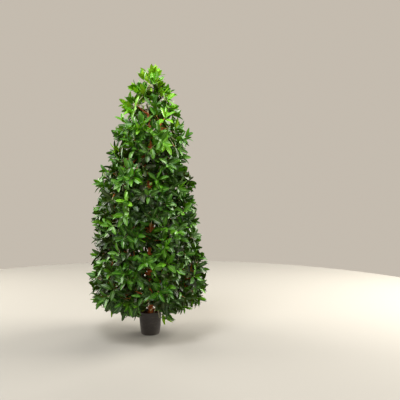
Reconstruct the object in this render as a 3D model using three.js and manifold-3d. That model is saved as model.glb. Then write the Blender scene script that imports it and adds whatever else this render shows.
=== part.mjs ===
// A bay cone topiary about the height of a person, of the made kind that stands on a patio: a tall cone
// of glossy bay leaves on a crooked russet trunk, weighted in a small plain plant pot.
// The boughs leave the trunk in a spiral, and each carries one mass of twigs and leaves. Every mass keeps
// to its own cell, the part of the crown that lies nearer to its centre than to any other mass's.
// Millimetres, +Z up. The origin is at the centre of the pot's underside.
import * as THREE from 'three';
import { mergeVertices } from 'three/addons/utils/BufferGeometryUtils.js';
import Module from 'manifold-3d';

const wasm = await Module();
wasm.setup();

// Driving dimensions: the crown
const HEIGHT = 1830; // floor to the topmost leaf tip
const OUTLINE_TOP_Z = HEIGHT + 13; // where the cone's sides would meet
const CROWN_RADIUS = 412; // of its even outline
const TUFT = 38; // the boldest sprays stand this far out of it
const WIDEST_Z = 325;
const CROWN_FOOT_Z = 128; // lowest leaf tips
const SHOULDER_POWER = 1.2; // how long the cone stays wide above its widest place
const TAPER_POWER = 0.55; // how blunt it is at the top
const UNDERSIDE_POWER = 2.5; // how square it is below
const TOP_CROWDING = 0.9; // how much closer the masses and sprays stand at the top than at the widest place

// Driving dimensions: trunk and boughs
const TRUNK_FOOT_R = 12.5;
const TRUNK_TIP_R = 5;
const TRUNK_TIP_Z = 1610;
const ROOT_FLARE = 6; // added to the trunk's radius at its cut
const ROOT_FLARE_FADE = 30; // height over which the flare dies away
const TRUNK_BEND = 9; // how far the crooked trunk strays from its line
const TRUNK_BEND_PITCH = 520; // height of one full bend
const BOUGHS = 27;
const BOUGH_RISE = 0.55; // climb for each millimetre outwards
const BOUGH_STEP = 13; // the least height between one bough's foot and the next
const BOUGH_SAG = 0.05; // of its length
const BOUGH_FOOT_R = 5.6;
const BOUGH_TIP_R = 4;
const BOUGH_SHARE = 0.5; // a bough's length, of the way from the trunk to its mass's centre
const STEM_TIP_R = 2.6;
const TOP_STEM = 70; // the topmost mass's stem

// Driving dimensions: sprays and leaves
const SPRAYS = 125;
const SPRAY_INSET = 84; // a spray's twig ends this far inside the crown's outline
const LEAVES_IN_SPRAY = 4;
const LEAF_LENGTH = 144;
const LEAF_WIDTH = 64;
const LEAF_THICKNESS = 2.6;
const LEAF_FOLD = 7; // how far the edges stand above the midrib
const LEAF_WIDEST = 0.46; // of the length, from the root
const LEAF_STEP = 7.5; // between the roots of one spray's leaves, along the twig
const LEAF_SPREAD = THREE.MathUtils.degToRad(60); // between a leaf and its spray's axis
const SPREAD_PLAY = THREE.MathUtils.degToRad(12);
const FIRST_SPREAD = THREE.MathUtils.degToRad(10); // the first leaf reaches as far as the outline lets it
const LEADER_Z = 1694; // the end of the topmost twig, which carries the tip of the crown
const TWIG_FOOT_R = 4.6;
const TWIG_TIP_R = 3.6;
const TWIG_SLANT = 1; // how far back a twig leaves its stem, for each millimetre that it reaches aside
const TWIGS_FROM = 0.7; // of the stem's length, where its first twig may leave it
const TWIGS_TO = 0.97;
const CORE_SHARE = 0.8; // of the way from the core's middle to the edge of its mass's cell
const CORE_ACROSS = 140; // a core is a pad, at most this far from its middle to its rim,
const CORE_DEEP = 52; // and this far towards the crown's outside

// Driving dimensions: pot
const POT_HEIGHT = 155;
const POT_PROFILE = [
  [58, 0],
  [63, 5],
  [70.5, 58],
  [74.5, 120],
  [76, 150],
]; // outside radius and height
const POT_WALL = 2.6;
const POT_FLOOR = 4;
const FILL_TOP_Z = 134;
const DRESSING_TOP_Z = 145;

const GAP = 0.3; // between pieces that touch
const TRUNK_GAP = 0.45; // between the trunk and what meets its side
const LEAST_EDGE = 0.02; // shorter edges, where solids cross, are closed up
const CELL_GAP = 0.5; // between a mass and the edge of its cell
const SEED = 30;
const GOLDEN_TURN = Math.PI * (3 - Math.sqrt(5));
const FIRST_BOUGH_TURN = 0.4;
const UP = new THREE.Vector3(0, 0, 1);
const vec = (x, y, z) => new THREE.Vector3(x, y, z);

// A stream of numbers from 0 to 1 that is the same on every run.
function dice(seed) {
  let state = (seed * 7919 + 17) % 4294967296;
  return () => {
    state = (1664525 * state + 1013904223) % 4294967296;
    return state / 4294967296;
  };
}

// Radius of the crown's outline at a height.
function outlineRadius(z) {
  if (z <= CROWN_FOOT_Z || z >= OUTLINE_TOP_Z) return 0;
  if (z < WIDEST_Z) {
    const below = (WIDEST_Z - z) / (WIDEST_Z - CROWN_FOOT_Z);
    return CROWN_RADIUS * (1 - below ** UNDERSIDE_POWER) ** (1 / UNDERSIDE_POWER);
  }
  const above = (z - WIDEST_Z) / (OUTLINE_TOP_Z - WIDEST_Z);
  return CROWN_RADIUS * (1 - above ** SHOULDER_POWER) ** TAPER_POWER;
}

// Half of the crown's outline, from under the crown to its top, as points that also carry the outward
// normal and the share of the crown's surface that lies below them.
const OUTLINE_STEPS = 240;
const LEAST_UNDERSIDE_R = 120; // nothing starts straight above the pot
function outlineTable() {
  const points = [];
  for (let i = 0; i <= OUTLINE_STEPS; i += 1) {
    const turn = (Math.PI * i) / OUTLINE_STEPS;
    const tall = i < OUTLINE_STEPS / 2 ? WIDEST_Z - CROWN_FOOT_Z : OUTLINE_TOP_Z - WIDEST_Z;
    const z = WIDEST_Z - Math.cos(turn) * tall;
    points.push({ r: outlineRadius(z), z });
  }
  let area = 0;
  points.forEach((point, i) => {
    const before = points[Math.max(i - 1, 0)];
    const after = points[Math.min(i + 1, OUTLINE_STEPS)];
    const run = Math.hypot(after.r - before.r, after.z - before.z);
    point.nr = (after.z - before.z) / run;
    point.nz = (before.r - after.r) / run;
    const wanted = point.z > WIDEST_Z || point.r > LEAST_UNDERSIDE_R;
    const crowding = 1 + TOP_CROWDING * Math.max(0, (point.z - WIDEST_Z) / (OUTLINE_TOP_Z - WIDEST_Z));
    area += wanted ? crowding * point.r * Math.hypot(point.r - before.r, point.z - before.z) : 0;
    point.area = area;
  });
  points.forEach((point) => {
    point.share = point.area / area;
  });
  return points;
}
const OUTLINE = outlineTable();

// Place number i of count places, spread evenly over the crown in a golden spiral and set in from its
// outline by a depth.
function spiralPlace(i, count, depth, turn) {
  const share = (i + 0.5) / count;
  const here = OUTLINE.find((point) => point.share >= share);
  const r = Math.max(here.r - depth * here.nr, 0.4 * here.r);
  const z = here.z - depth * here.nz;
  const angle = turn + i * GOLDEN_TURN;
  const normal = vec(here.nr * Math.cos(angle), here.nr * Math.sin(angle), here.nz);
  return { at: vec(r * Math.cos(angle), r * Math.sin(angle), z), normal };
}

// The trunk's middle line, a little crooked, from its cut on the pot's filling to its tip.
const TRUNK_FOOT_Z = FILL_TOP_Z + GAP;
function trunkAt(z) {
  const climb = (z - TRUNK_FOOT_Z) / TRUNK_BEND_PITCH;
  const x = TRUNK_BEND * (Math.sin(2 * Math.PI * climb + 0.6) - Math.sin(0.6) * Math.exp(-climb * 4));
  const y = 0.7 * TRUNK_BEND * Math.sin(1.37 * Math.PI * climb);
  return vec(x, y, z);
}
function trunkRadius(z) {
  const climb = (z - TRUNK_FOOT_Z) / (TRUNK_TIP_Z - TRUNK_FOOT_Z);
  const flare = ROOT_FLARE * Math.exp(-(z - TRUNK_FOOT_Z) / ROOT_FLARE_FADE);
  return THREE.MathUtils.lerp(TRUNK_FOOT_R, TRUNK_TIP_R, climb) + flare;
}

// The masses' centres, and the limb that each one grows on. A limb is a curve of 0 to 1 from the trunk to
// the centre, a bough as far as its share `bare`, and from there on the stem of its mass. The last limb
// only carries the trunk on.
const CENTRE_DEPTH_SHARE = 0.42; // of the crown's radius there
function massPlan() {
  const plan = [];
  for (let k = 0; k < BOUGHS; k += 1) {
    const surface = spiralPlace(k, BOUGHS + 1, 0, FIRST_BOUGH_TURN);
    const reach = Math.hypot(surface.at.x, surface.at.y);
    const centre = surface.at.clone().addScaledVector(surface.normal, -CENTRE_DEPTH_SHARE * reach);
    const out = Math.hypot(centre.x, centre.y);
    const lowest = TRUNK_FOOT_Z + 2 * BOUGH_STEP + k * BOUGH_STEP;
    const foot = trunkAt(Math.max(centre.z - BOUGH_RISE * out, lowest));
    const length = foot.distanceTo(centre);
    const sag = 4 * BOUGH_SAG * length;
    const limb = (u) => foot.clone().lerp(centre, u).addScaledVector(UP, -sag * u * (1 - u));
    plan.push({ centre, limb, length, normal: surface.normal, bare: BOUGH_SHARE });
  }
  const tip = trunkAt(TRUNK_TIP_Z);
  const onwards = trunkAt(TRUNK_TIP_Z + 1).sub(trunkAt(TRUNK_TIP_Z - 1)).setLength(TOP_STEM);
  const limb = (u) => tip.clone().addScaledVector(onwards, u);
  plan.push({ centre: limb(1), limb, length: TOP_STEM, normal: UP, bare: 0 });
  return plan;
}
const PLAN = massPlan();

// Whether a point lies in mass k's cell, at least a margin inside it.
function inCell(point, k, margin) {
  const own = PLAN[k].centre;
  return PLAN.every(({ centre }, j) => {
    if (j === k) return true;
    const away = centre.clone().sub(own);
    const middle = centre.clone().add(own).multiplyScalar(0.5);
    return point.clone().sub(middle).dot(away.normalize()) <= -margin;
  });
}

// How far a ray from inside mass k's cell runs before it leaves the cell or the crown.
function reachInCell(from, direction, k) {
  const step = 6;
  const point = from.clone();
  for (let run = 0; run < CROWN_RADIUS; run += step) {
    point.addScaledVector(direction, step);
    const outside = Math.hypot(point.x, point.y) > outlineRadius(point.z);
    if (outside || !inCell(point, k, CELL_GAP)) return run;
  }
  return CROWN_RADIUS;
}

// A closed tube of any number of sides whose middle line and radius follow functions of 0 to 1.
function tube(path, radius, sides, steps) {
  const geometry = new THREE.CylinderGeometry(1, 1, 1, sides, steps);
  const position = geometry.getAttribute('position');
  const whole = path(1).sub(path(0)).normalize();
  const beside = Math.abs(whole.x) > 0.9 ? UP : vec(1, 0, 0); // the same all along, so that no side twists
  for (let i = 0; i < position.count; i += 1) {
    const t = position.getY(i) + 0.5;
    const ahead = path(t + 0.001).sub(path(t - 0.001)).normalize();
    const across = beside.clone().addScaledVector(ahead, -ahead.dot(beside)).normalize();
    const aside = across.clone().cross(ahead);
    const point = path(t)
      .addScaledVector(across, position.getX(i) * radius(t))
      .addScaledVector(aside, position.getZ(i) * radius(t));
    position.setXYZ(i, point.x, point.y, point.z);
  }
  return geometry;
}
const line = (from, to) => (t) => from.clone().lerp(to, t);
const taper = (from, to) => (t) => THREE.MathUtils.lerp(from, to, t);

// three.js geometry to a solid, and back.
function solidOf(geometry) {
  const bare = geometry.clone();
  bare.deleteAttribute('normal');
  bare.deleteAttribute('uv');
  const merged = mergeVertices(bare, 1e-4);
  const vertProperties = merged.getAttribute('position').array;
  const triVerts = new Uint32Array(merged.index.array);
  return new wasm.Manifold(new wasm.Mesh({ numProp: 3, vertProperties, triVerts }));
}
function geometryOf(solid) {
  const { vertProperties, triVerts } = solid.getMesh();
  const geometry = new THREE.BufferGeometry();
  geometry.setAttribute('position', new THREE.BufferAttribute(vertProperties, 3));
  geometry.setIndex(new THREE.BufferAttribute(triVerts, 1));
  geometry.computeVertexNormals();
  return geometry;
}

// Joins solids into one body. Loose scraps and sealed hollows come away as their own bodies, and are left.
function fuse(solids) {
  const bodies = wasm.Manifold.union(solids).simplify(LEAST_EDGE).decompose();
  return bodies.reduce((most, body) => (body.volume() > most.volume() ? body : most));
}

// One leaf of eight faces, folded a little along its midrib. Its root lies at the origin of the given
// frame, its blade runs along `ahead`, and its upper side faces `face`.
function leafPoints(root, ahead, face, size) {
  const side = ahead.clone().cross(face).normalize();
  const up = side.clone().cross(ahead).normalize();
  const widest = root.clone().addScaledVector(ahead, LEAF_LENGTH * size * LEAF_WIDEST);
  const half = (LEAF_WIDTH * size) / 2;
  const place = (across, high) => widest.clone().addScaledVector(side, across).addScaledVector(up, high);
  return {
    right: place(half, LEAF_FOLD),
    left: place(-half, LEAF_FOLD),
    tip: root.clone().addScaledVector(ahead, LEAF_LENGTH * size).addScaledVector(up, -LEAF_FOLD / 2),
    root,
    top: place(0, LEAF_THICKNESS / 2),
    under: place(0, -LEAF_THICKNESS / 2),
  };
}
// An octahedron's corners are moved to the leaf's: +X right, -X left, +Y tip, -Y root, +Z top, -Z under.
function leafSolid({ right, left, tip, root, top, under }) {
  const geometry = new THREE.OctahedronGeometry(1);
  const position = geometry.getAttribute('position');
  for (let i = 0; i < position.count; i += 1) {
    const [x, y, z] = [position.getX(i), position.getY(i), position.getZ(i)];
    let corner = z > 0 ? top : under;
    if (Math.abs(x) > 0.5) corner = x > 0 ? right : left;
    if (Math.abs(y) > 0.5) corner = y > 0 ? tip : root;
    position.setXYZ(i, corner.x, corner.y, corner.z);
  }
  return solidOf(geometry);
}

// The trunk and the limbs as straight pieces with radii, to keep leaves and twigs clear of them. A mass
// keeps clear of every other mass's whole limb, and of its own as far as that is a bough.
const PIECE_LENGTH = 30;
function straightPieces(path, length, radius) {
  const count = Math.ceil(length / PIECE_LENGTH);
  return Array.from({ length: count }, (_, i) => {
    const piece = new THREE.Line3(path(i / count), path((i + 1) / count));
    return { piece, radius: radius(i / count) };
  });
}
const TRUNK_PIECES = straightPieces(
  (t) => trunkAt(THREE.MathUtils.lerp(TRUNK_FOOT_Z, TRUNK_TIP_Z, t)),
  TRUNK_TIP_Z - TRUNK_FOOT_Z,
  (t) => trunkRadius(THREE.MathUtils.lerp(TRUNK_FOOT_Z, TRUNK_TIP_Z, t)),
);
const part = (mass, from, to) => (t) => mass.limb(THREE.MathUtils.lerp(from, to, t));
const BOUGH_PIECES = PLAN.map((mass) =>
  straightPieces(part(mass, 0, mass.bare), mass.length * mass.bare, () => BOUGH_FOOT_R),
);
const STEM_PIECES = PLAN.map((mass) =>
  straightPieces(part(mass, mass.bare, 1), mass.length * (1 - mass.bare), () => BOUGH_TIP_R),
);
function clearOfLimbs(point, k, margin) {
  const nearest = new THREE.Vector3();
  const stems = STEM_PIECES.filter((_, j) => j !== k);
  return [TRUNK_PIECES, ...BOUGH_PIECES, ...stems].every((pieces) =>
    pieces.every(({ piece, radius }) => {
      piece.closestPointToPoint(point, true, nearest);
      return nearest.distanceTo(point) > radius + margin;
    }),
  );
}
function clearOfPot(point) {
  return point.z > POT_HEIGHT + 4 || Math.hypot(point.x, point.y) > POT_PROFILE.at(-1)[0] + 6;
}

// Whether all of a leaf lies in its mass's cell, in the crown's outline, and clear of limbs and pot.
function leafFits(points, k, stand) {
  const corners = [points.right, points.left, points.tip, points.top, points.under, points.root];
  if (!corners.every((corner) => inCell(corner, k, CELL_GAP) && clearOfPot(corner))) return false;
  if (points.tip.z > HEIGHT) return false;
  if (Math.hypot(points.tip.x, points.tip.y) > outlineRadius(points.tip.z) + stand) return false;
  const samples = [0.15, 0.3, 0.46, 0.6, 0.75, 0.9, 1].map((t) => points.root.clone().lerp(points.tip, t));
  const half = LEAF_WIDTH / 2;
  return samples.every((sample, i) => clearOfLimbs(sample, k, 1 + half * (1 - Math.abs(i - 2) / 4)));
}

// Whether the outline of one leaf goes through the blade of another.
function crosses(points, other) {
  const outline = [points.root, points.right, points.tip, points.left];
  const hit = new THREE.Vector3();
  return outline.some((from, i) => {
    const to = outline[(i + 1) % outline.length];
    const ray = new THREE.Ray(from, to.clone().sub(from).normalize());
    return [other.right, other.left].some((side) => {
      const met = ray.intersectTriangle(other.root, side, other.tip, false, hit);
      return met !== null && hit.distanceTo(from) < to.distanceTo(from);
    });
  });
}

// The leaves at the end of one twig, in a whorl round the spray's axis.
const TRIES = 30;
function sprayLeaves({ at, stand }, back, axis, k, others, roll) {
  const across = axis.clone().cross(Math.abs(axis.z) > 0.9 ? vec(1, 0, 0) : UP).normalize();
  const aside = axis.clone().cross(across);
  const leaves = [];
  for (let j = 0; j < LEAVES_IN_SPRAY; j += 1) {
    for (let attempt = 0; attempt < TRIES; attempt += 1) {
      const least = j === 0 ? FIRST_SPREAD : LEAF_SPREAD + SPREAD_PLAY * (2 * roll() - 1);
      const spread = least + attempt * 0.05;
      const around = ((j + 0.35 * roll() + attempt * 0.07) * 2 * Math.PI) / LEAVES_IN_SPRAY;
      const out = across.clone().multiplyScalar(Math.cos(around)).addScaledVector(aside, Math.sin(around));
      const ahead = axis.clone().multiplyScalar(Math.cos(spread)).addScaledVector(out, Math.sin(spread));
      const face = axis.clone().addScaledVector(out, -0.4);
      const size = (0.92 + 0.16 * roll()) * (attempt > TRIES / 2 ? 0.8 : 1);
      const root = at.clone().addScaledVector(back, LEAF_STEP * (j + 0.8));
      const points = leafPoints(root, ahead, face, size);
      const crossed = others.some((other) => crosses(points, other) || crosses(other, points));
      if (leafFits(points, k, stand) && !crossed) {
        others.push(points);
        leaves.push(leafSolid(points));
        break;
      }
    }
  }
  return leaves;
}

// The sprays' places, each given to the mass whose centre is nearest.
function spraysByMass() {
  const roll = dice(SEED);
  const byMass = PLAN.map(() => []);
  const { limb, length } = PLAN.at(-1);
  const leader = limb((LEADER_Z - TRUNK_TIP_Z) / length);
  byMass.at(-1).push({ at: leader, normal: UP, stand: TUFT / 2 });
  for (let i = 0; i < SPRAYS; i += 1) {
    const stand = TUFT * roll();
    const place = { ...spiralPlace(i, SPRAYS, SPRAY_INSET - stand, 0), stand };
    const distances = PLAN.map(({ centre }) => centre.distanceTo(place.at));
    byMass[distances.indexOf(Math.min(...distances))].push(place);
  }
  return byMass;
}

// A small core of foliage too dense to see into, as far as its cell allows, cut clear of the limbs.
function coreSolid({ centre, normal }, k, roll) {
  const geometry = new THREE.IcosahedronGeometry(1, 0);
  const merged = mergeVertices(
    new THREE.BufferGeometry().setAttribute('position', geometry.getAttribute('position')),
    1e-3,
  );
  const position = merged.getAttribute('position');
  for (let i = 0; i < position.count; i += 1) {
    const direction = vec(position.getX(i), position.getY(i), position.getZ(i)).normalize();
    const out = direction.dot(normal);
    const pad = 1 / Math.hypot(out / CORE_DEEP, Math.sqrt(1 - out * out) / CORE_ACROSS);
    const reach = Math.min(CORE_SHARE * reachInCell(centre, direction, k), pad);
    const point = centre.clone().addScaledVector(direction, reach * (0.85 + 0.15 * roll()));
    position.setXYZ(i, point.x, point.y, point.z);
  }
  const otherStems = stemsGrown.filter((_, j) => j !== k);
  return solidOf(merged).subtract(wasm.Manifold.union([boughsGrown, ...otherStems]));
}

// One mass: a stem from the bough's tip, twigs that leave it for every spray, their leaves, and the core.
function massGeometry(mass, k, places) {
  const roll = dice(SEED + 101 * k);
  const solids = [stemSolid(mass, 0), coreSolid(mass, k, roll)];
  const others = [];
  const start = mass.limb(mass.bare);
  const along = mass.centre.clone().sub(start);
  const stemLength = along.length();
  along.normalize();
  for (const place of places) {
    const { at, normal } = place;
    const ahead = at.clone().sub(start).dot(along);
    const asideBy = at.clone().sub(start).addScaledVector(along, -ahead).length();
    const level = (ahead - TWIG_SLANT * asideBy) / stemLength;
    const run = THREE.MathUtils.clamp(level, TWIGS_FROM, TWIGS_TO);
    const foot = mass.limb(THREE.MathUtils.lerp(mass.bare, 1, run));
    const twigAxis = at.clone().sub(foot).normalize();
    const axis = twigAxis.clone().addScaledVector(normal, 0.6).normalize();
    const twigClear = [0.25, 0.5, 0.75, 1].every((t) => {
      const point = foot.clone().lerp(at, t);
      return clearOfLimbs(point, k, TWIG_FOOT_R) && inCell(point, k, TWIG_FOOT_R) && clearOfPot(point);
    });
    if (!twigClear) continue;
    solids.push(solidOf(tube(line(foot, at), taper(TWIG_FOOT_R, TWIG_TIP_R), 3, 1)));
    const back = twigAxis.clone().negate();
    solids.push(...sprayLeaves(place, back, axis, k, others, roll));
  }
  return geometryOf(fuse(solids));
}

// Materials, by what they are made of.
const finish = (color, roughness) => new THREE.MeshStandardMaterial({ color, roughness, metalness: 0 });
const FINISHES = {
  pot: finish('#322d29', 0.6),
  fill: finish('#59544f', 0.95),
  dressing: finish('#4a2c1c', 0.95),
  bark: finish('#6e3821', 0.7),
  leaf: finish('#35591c', 0.45),
};

const topiary = new THREE.Group();
function addPiece(name, geometry, material) {
  const mesh = new THREE.Mesh(geometry, material);
  mesh.name = name;
  topiary.add(mesh);
}

// The pot is a thin shell, open at the top, on a flat round base.
const LATHE_SIDES = 32;
function lathe(profile) {
  return new THREE.LatheGeometry(
    profile.map(([r, z]) => new THREE.Vector2(r, z)),
    LATHE_SIDES,
  ).rotateX(Math.PI / 2);
}
function potInside(z) {
  const next = POT_PROFILE.findIndex(([, height]) => height >= z);
  const [r1, z1] = POT_PROFILE[Math.max(next, 1)];
  const [r0, z0] = POT_PROFILE[Math.max(next, 1) - 1];
  return THREE.MathUtils.mapLinear(z, z0, z1, r0, r1) - POT_WALL;
}
function potGeometry() {
  const outside = [...POT_PROFILE, [76.6, POT_HEIGHT - 2], [76, POT_HEIGHT]];
  const inside = [...POT_PROFILE.slice(2)].reverse().map(([r, z]) => [r - POT_WALL, z]);
  const lip = [73.6, POT_HEIGHT];
  return lathe([[0, 0], ...outside, lip, ...inside, [potInside(POT_FLOOR + 6), POT_FLOOR], [0, POT_FLOOR]]);
}
function fillGeometry() {
  const sides = POT_PROFILE.slice(2, 4).map(([r, z]) => [r - POT_WALL - GAP, z]);
  const foot = [potInside(POT_FLOOR + 6) - GAP, POT_FLOOR + GAP];
  const rim = [potInside(FILL_TOP_Z) - GAP, FILL_TOP_Z];
  return lathe([[0, POT_FLOOR + GAP], foot, ...sides, rim, [0, FILL_TOP_Z]]);
}
addPiece('pot', potGeometry(), FINISHES.pot);
addPiece('pot_fill', fillGeometry(), FINISHES.fill);

// The trunk, with every limb also grown by the gap that its neighbours keep to it.
const TRUNK_SIDES = 12;
const TRUNK_STEPS = 18;
function trunkSolid(grown) {
  const below = TRUNK_FOOT_Z - 10; // cut off level again
  const height = (t) => below + (TRUNK_TIP_Z - below) * t * (0.4 + 0.6 * t); // closer rings in the flare
  const radius = (t) => trunkRadius(height(t)) + grown;
  const trunk = tube((t) => trunkAt(height(t)), radius, TRUNK_SIDES, TRUNK_STEPS);
  return solidOf(trunk).trimByPlane([0, 0, 1], TRUNK_FOOT_Z);
}
const LIMB_SIDES = 5;
function boughSolid(mass, grown) {
  const radius = taper(BOUGH_FOOT_R + grown, BOUGH_TIP_R + grown);
  return solidOf(tube(part(mass, 0, mass.bare), radius, LIMB_SIDES, 3));
}
function stemSolid(mass, grown) {
  const radius = taper(BOUGH_TIP_R + grown, STEM_TIP_R + grown);
  return solidOf(tube(part(mass, mass.bare + GAP / mass.length, 1), radius, LIMB_SIDES, 2));
}
const trunkGrown = trunkSolid(TRUNK_GAP);
const BARE = PLAN.filter((mass) => mass.bare > 0);
const boughsGrown = wasm.Manifold.union([trunkSolid(1), ...BARE.map((mass) => boughSolid(mass, 1))]);
const stemsGrown = PLAN.map((mass) => stemSolid(mass, 1));
addPiece('trunk', geometryOf(trunkSolid(0)), FINISHES.bark);

// A loose dressing covers the filling round the trunk's foot.
const dressingRim = potInside(FILL_TOP_Z) - GAP;
const dressing = solidOf(
  lathe([
    [0, FILL_TOP_Z + GAP],
    [dressingRim, FILL_TOP_Z + GAP],
    [dressingRim, FILL_TOP_Z + 5],
    [dressingRim * 0.6, DRESSING_TOP_Z],
    [0, DRESSING_TOP_Z],
  ]),
).subtract(trunkGrown);
addPiece('top_dressing', geometryOf(fuse([dressing])), FINISHES.dressing);

// Boughs, cut to the trunk's side, and the masses that they carry.
const sprays = spraysByMass();
PLAN.forEach((mass, k) => {
  const number = String(k + 1).padStart(2, '0');
  if (mass.bare > 0) {
    const bough = fuse([boughSolid(mass, 0).subtract(trunkGrown)]);
    addPiece(`bough_${number}`, geometryOf(bough), FINISHES.bark);
  }
  const name = mass.bare > 0 ? `foliage_${number}` : 'foliage_top';
  addPiece(name, massGeometry(mass, k, sprays[k]), FINISHES.leaf);
});

export default topiary;
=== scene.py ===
import math
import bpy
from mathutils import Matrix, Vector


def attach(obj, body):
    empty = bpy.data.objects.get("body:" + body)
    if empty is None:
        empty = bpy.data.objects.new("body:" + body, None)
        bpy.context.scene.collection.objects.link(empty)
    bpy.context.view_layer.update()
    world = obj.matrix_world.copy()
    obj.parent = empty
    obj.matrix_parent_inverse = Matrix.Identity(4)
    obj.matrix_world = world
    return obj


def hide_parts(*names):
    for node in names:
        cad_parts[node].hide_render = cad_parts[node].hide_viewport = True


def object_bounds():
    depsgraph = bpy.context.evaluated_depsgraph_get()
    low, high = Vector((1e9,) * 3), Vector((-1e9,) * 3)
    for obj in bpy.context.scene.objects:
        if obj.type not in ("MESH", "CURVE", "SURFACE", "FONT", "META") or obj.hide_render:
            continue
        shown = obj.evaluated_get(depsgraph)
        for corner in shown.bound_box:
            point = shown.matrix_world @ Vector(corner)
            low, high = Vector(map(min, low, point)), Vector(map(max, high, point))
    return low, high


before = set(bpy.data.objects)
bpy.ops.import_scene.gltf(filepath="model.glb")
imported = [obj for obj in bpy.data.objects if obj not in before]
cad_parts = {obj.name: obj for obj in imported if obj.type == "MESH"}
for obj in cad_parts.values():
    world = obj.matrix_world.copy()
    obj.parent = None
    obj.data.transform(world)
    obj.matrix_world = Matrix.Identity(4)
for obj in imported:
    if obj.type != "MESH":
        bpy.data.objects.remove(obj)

from types import SimpleNamespace

import bmesh
import bpy
import numpy as np
from mathutils import Vector, noise

cad_low, cad_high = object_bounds()

# A bay cone topiary of the made kind, about the height of a person. Every limb, twig and leaf is placed
# by the rule that the solids follow, which is carried on here from their coarse twigs to fine shoots with
# leaves of life size. Metres, +Z up, the origin at the centre of the pot's underside.

# Sizes: the crown
HEIGHT = 1.830  # floor to the topmost leaf tip
OUTLINE_TOP_Z = HEIGHT + 0.013  # where the cone's sides would meet
CROWN_RADIUS = 0.412  # of its even outline
TUFT = 0.038  # the boldest sprays stand this far out of it
WIDEST_Z = 0.325
CROWN_FOOT_Z = 0.128
SHOULDER_POWER = 1.2  # how long the cone stays wide above its widest place
TAPER_POWER = 0.55  # how blunt it is at the top
UNDERSIDE_POWER = 2.5  # how square it is below
TOP_CROWDING = 0.9  # how much closer boughs and sprays stand at the top than at the widest place
OUTLINE_STEPS = 240
LEAST_UNDERSIDE_R = 0.120  # nothing starts straight above the pot
INNERMOST = 0.4  # of the outline's radius: a place set in from it stays this far off the axis

# Sizes: trunk and boughs
TRUNK_FOOT_Z = 0.1343
TRUNK_FOOT_R = 0.0125
TRUNK_TIP_R = 0.005
TRUNK_TIP_Z = 1.610
ROOT_FLARE = 0.006  # added to the trunk's radius at its cut
ROOT_FLARE_FADE = 0.030  # height over which the flare dies away
TRUNK_BEND = 0.009  # how far the crooked trunk strays from its line
TRUNK_BEND_PITCH = 0.520  # height of one full bend
TRUNK_BEND_START = 0.6  # radians into its bend at the foot
TRUNK_BEND_ONSET = 4  # how fast it leaves its line above the foot
DEPTH_BEND = 0.7  # the bend from front to back, as a share of the sideways one
DEPTH_BEND_TURNS = 1.37  # half turns of it in one pitch
BOUGHS = 27
BOUGH_RISE = 0.55  # climb for each metre outwards
BOUGH_STEP = 0.013  # the least height between one bough's foot and the next
BOUGH_SAG = 0.05  # of its length
BOUGH_FOOT_R = 0.0056
BOUGH_TIP_R = 0.004
FIRST_BOUGH_TURN = 0.4
BOUGH_SHARE = 0.5  # a bough's length, of the way from the trunk to its mass's centre
STEM_OVERLAP = 0.02  # of that way: the stem of a mass starts this far inside its bough
STEM_TIP_R = 0.0026
TOP_STEM = 0.070  # the topmost mass's stem
CENTRE_DEPTH_SHARE = 0.42  # of the crown's radius: how deep a mass's centre lies
NUDGE = 0.001  # a step along a curve that shows where it is heading

# Sizes: coarse twigs, one for each of the solids' sprays
SPRAYS = 125
SPRAY_INSET = 0.084  # a spray's twig ends this far inside the crown's outline
LEADER_Z = 1.694  # the end of the topmost twig
TWIG_SLANT = 1  # how far back a twig leaves its stem, for each metre that it reaches aside
TWIGS_FROM = 0.7  # of the stem's length, where its first twig may leave it
TWIGS_TO = 0.97
TWIG_BOW = 0.35  # of its reach: how far a twig sets out along its stem
TWIG_FOOT_R = 0.0026
TWIG_TIP_R = 0.0017
SEED = 30  # deals out the solids' sprays
LEAF_SEED = 33  # deals out shoots, chips and leaves
GOLDEN_TURN = math.pi * (3 - math.sqrt(5))

# Sizes: shoots. Each coarse twig ends in a tuft: a shoot at its tip, and rings of side shoots behind it.
TIP_DEPTH = 0.068  # the tip shoot ends this far inside the outline, less what its tuft stands out
TUFT_ALONG = 0.5  # how far a tuft heads along its twig, for each part straight out of the crown
TUFT_RINGS = (  # distance off the twig's line, set back from its tip, number of shoots, lean outwards
    (0.000, 0.000, 1, 0.0),
    (0.048, 0.032, 3, 0.7),
    (0.070, 0.070, 3, 0.9),
    (0.062, 0.112, 2, 1.1),
)
RING_PLAY = 0.2  # of the turn from one shoot of a ring to the next
HIDDEN_RING = 3  # from this ring inwards leaves are seen only in glimpses
SLIM_CROWN = (0.16, 0.32)  # crown radii between which a tuft goes from its tip shoot alone to all its rings
LOWEST_SHOOTS_Z = (0.185, 0.235)
SHOOTS_FROM = 0.05  # of the coarse twig's length, where its first shoot may leave it
SHOOTS_TO = 0.96
SHOOT_BOW = 0.4  # of its reach: how far a shoot sets out along its twig
SHOOT_PLAY = 0.012  # each way, by chance, in where a shoot ends
SHOOT_FOOT_R = 0.0019
SHOOT_TIP_R = 0.0012
CROWN_LEAN = (  # height, and how far the crown stands there to the right of the even outline
    (0.20, 0.004), (0.45, -0.012), (0.65, -0.026), (1.15, -0.026),
    (1.30, 0.006), (1.40, 0.016), (1.70, 0.010),
)
LEAN_FROM_R = 0.05  # nearer to the axis than this the lean fades out
LEADER_WHORLS = (  # sideways, towards the back, height
    (0.012, 0.000, 1.756), (0.054, 0.012, 1.742), (-0.018, 0.026, 1.712),
    (0.024, -0.034, 1.680), (-0.034, -0.026, 1.640), (0.066, 0.040, 1.650),
)
LEADER_OPEN = 7  # how fast the whorls lean outwards
HEART_SHOOTS = 9  # round the trunk's top
HEART_Z = (1.46, 1.63)
HEART_R = 0.060
CORE_SHOOTS = 95
CORE_DEPTHS = (0.14, 0.26)
CORE_TOP_Z = 1.64
CORE_TURN = 2.3  # where the spiral of core shoots starts
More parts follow.
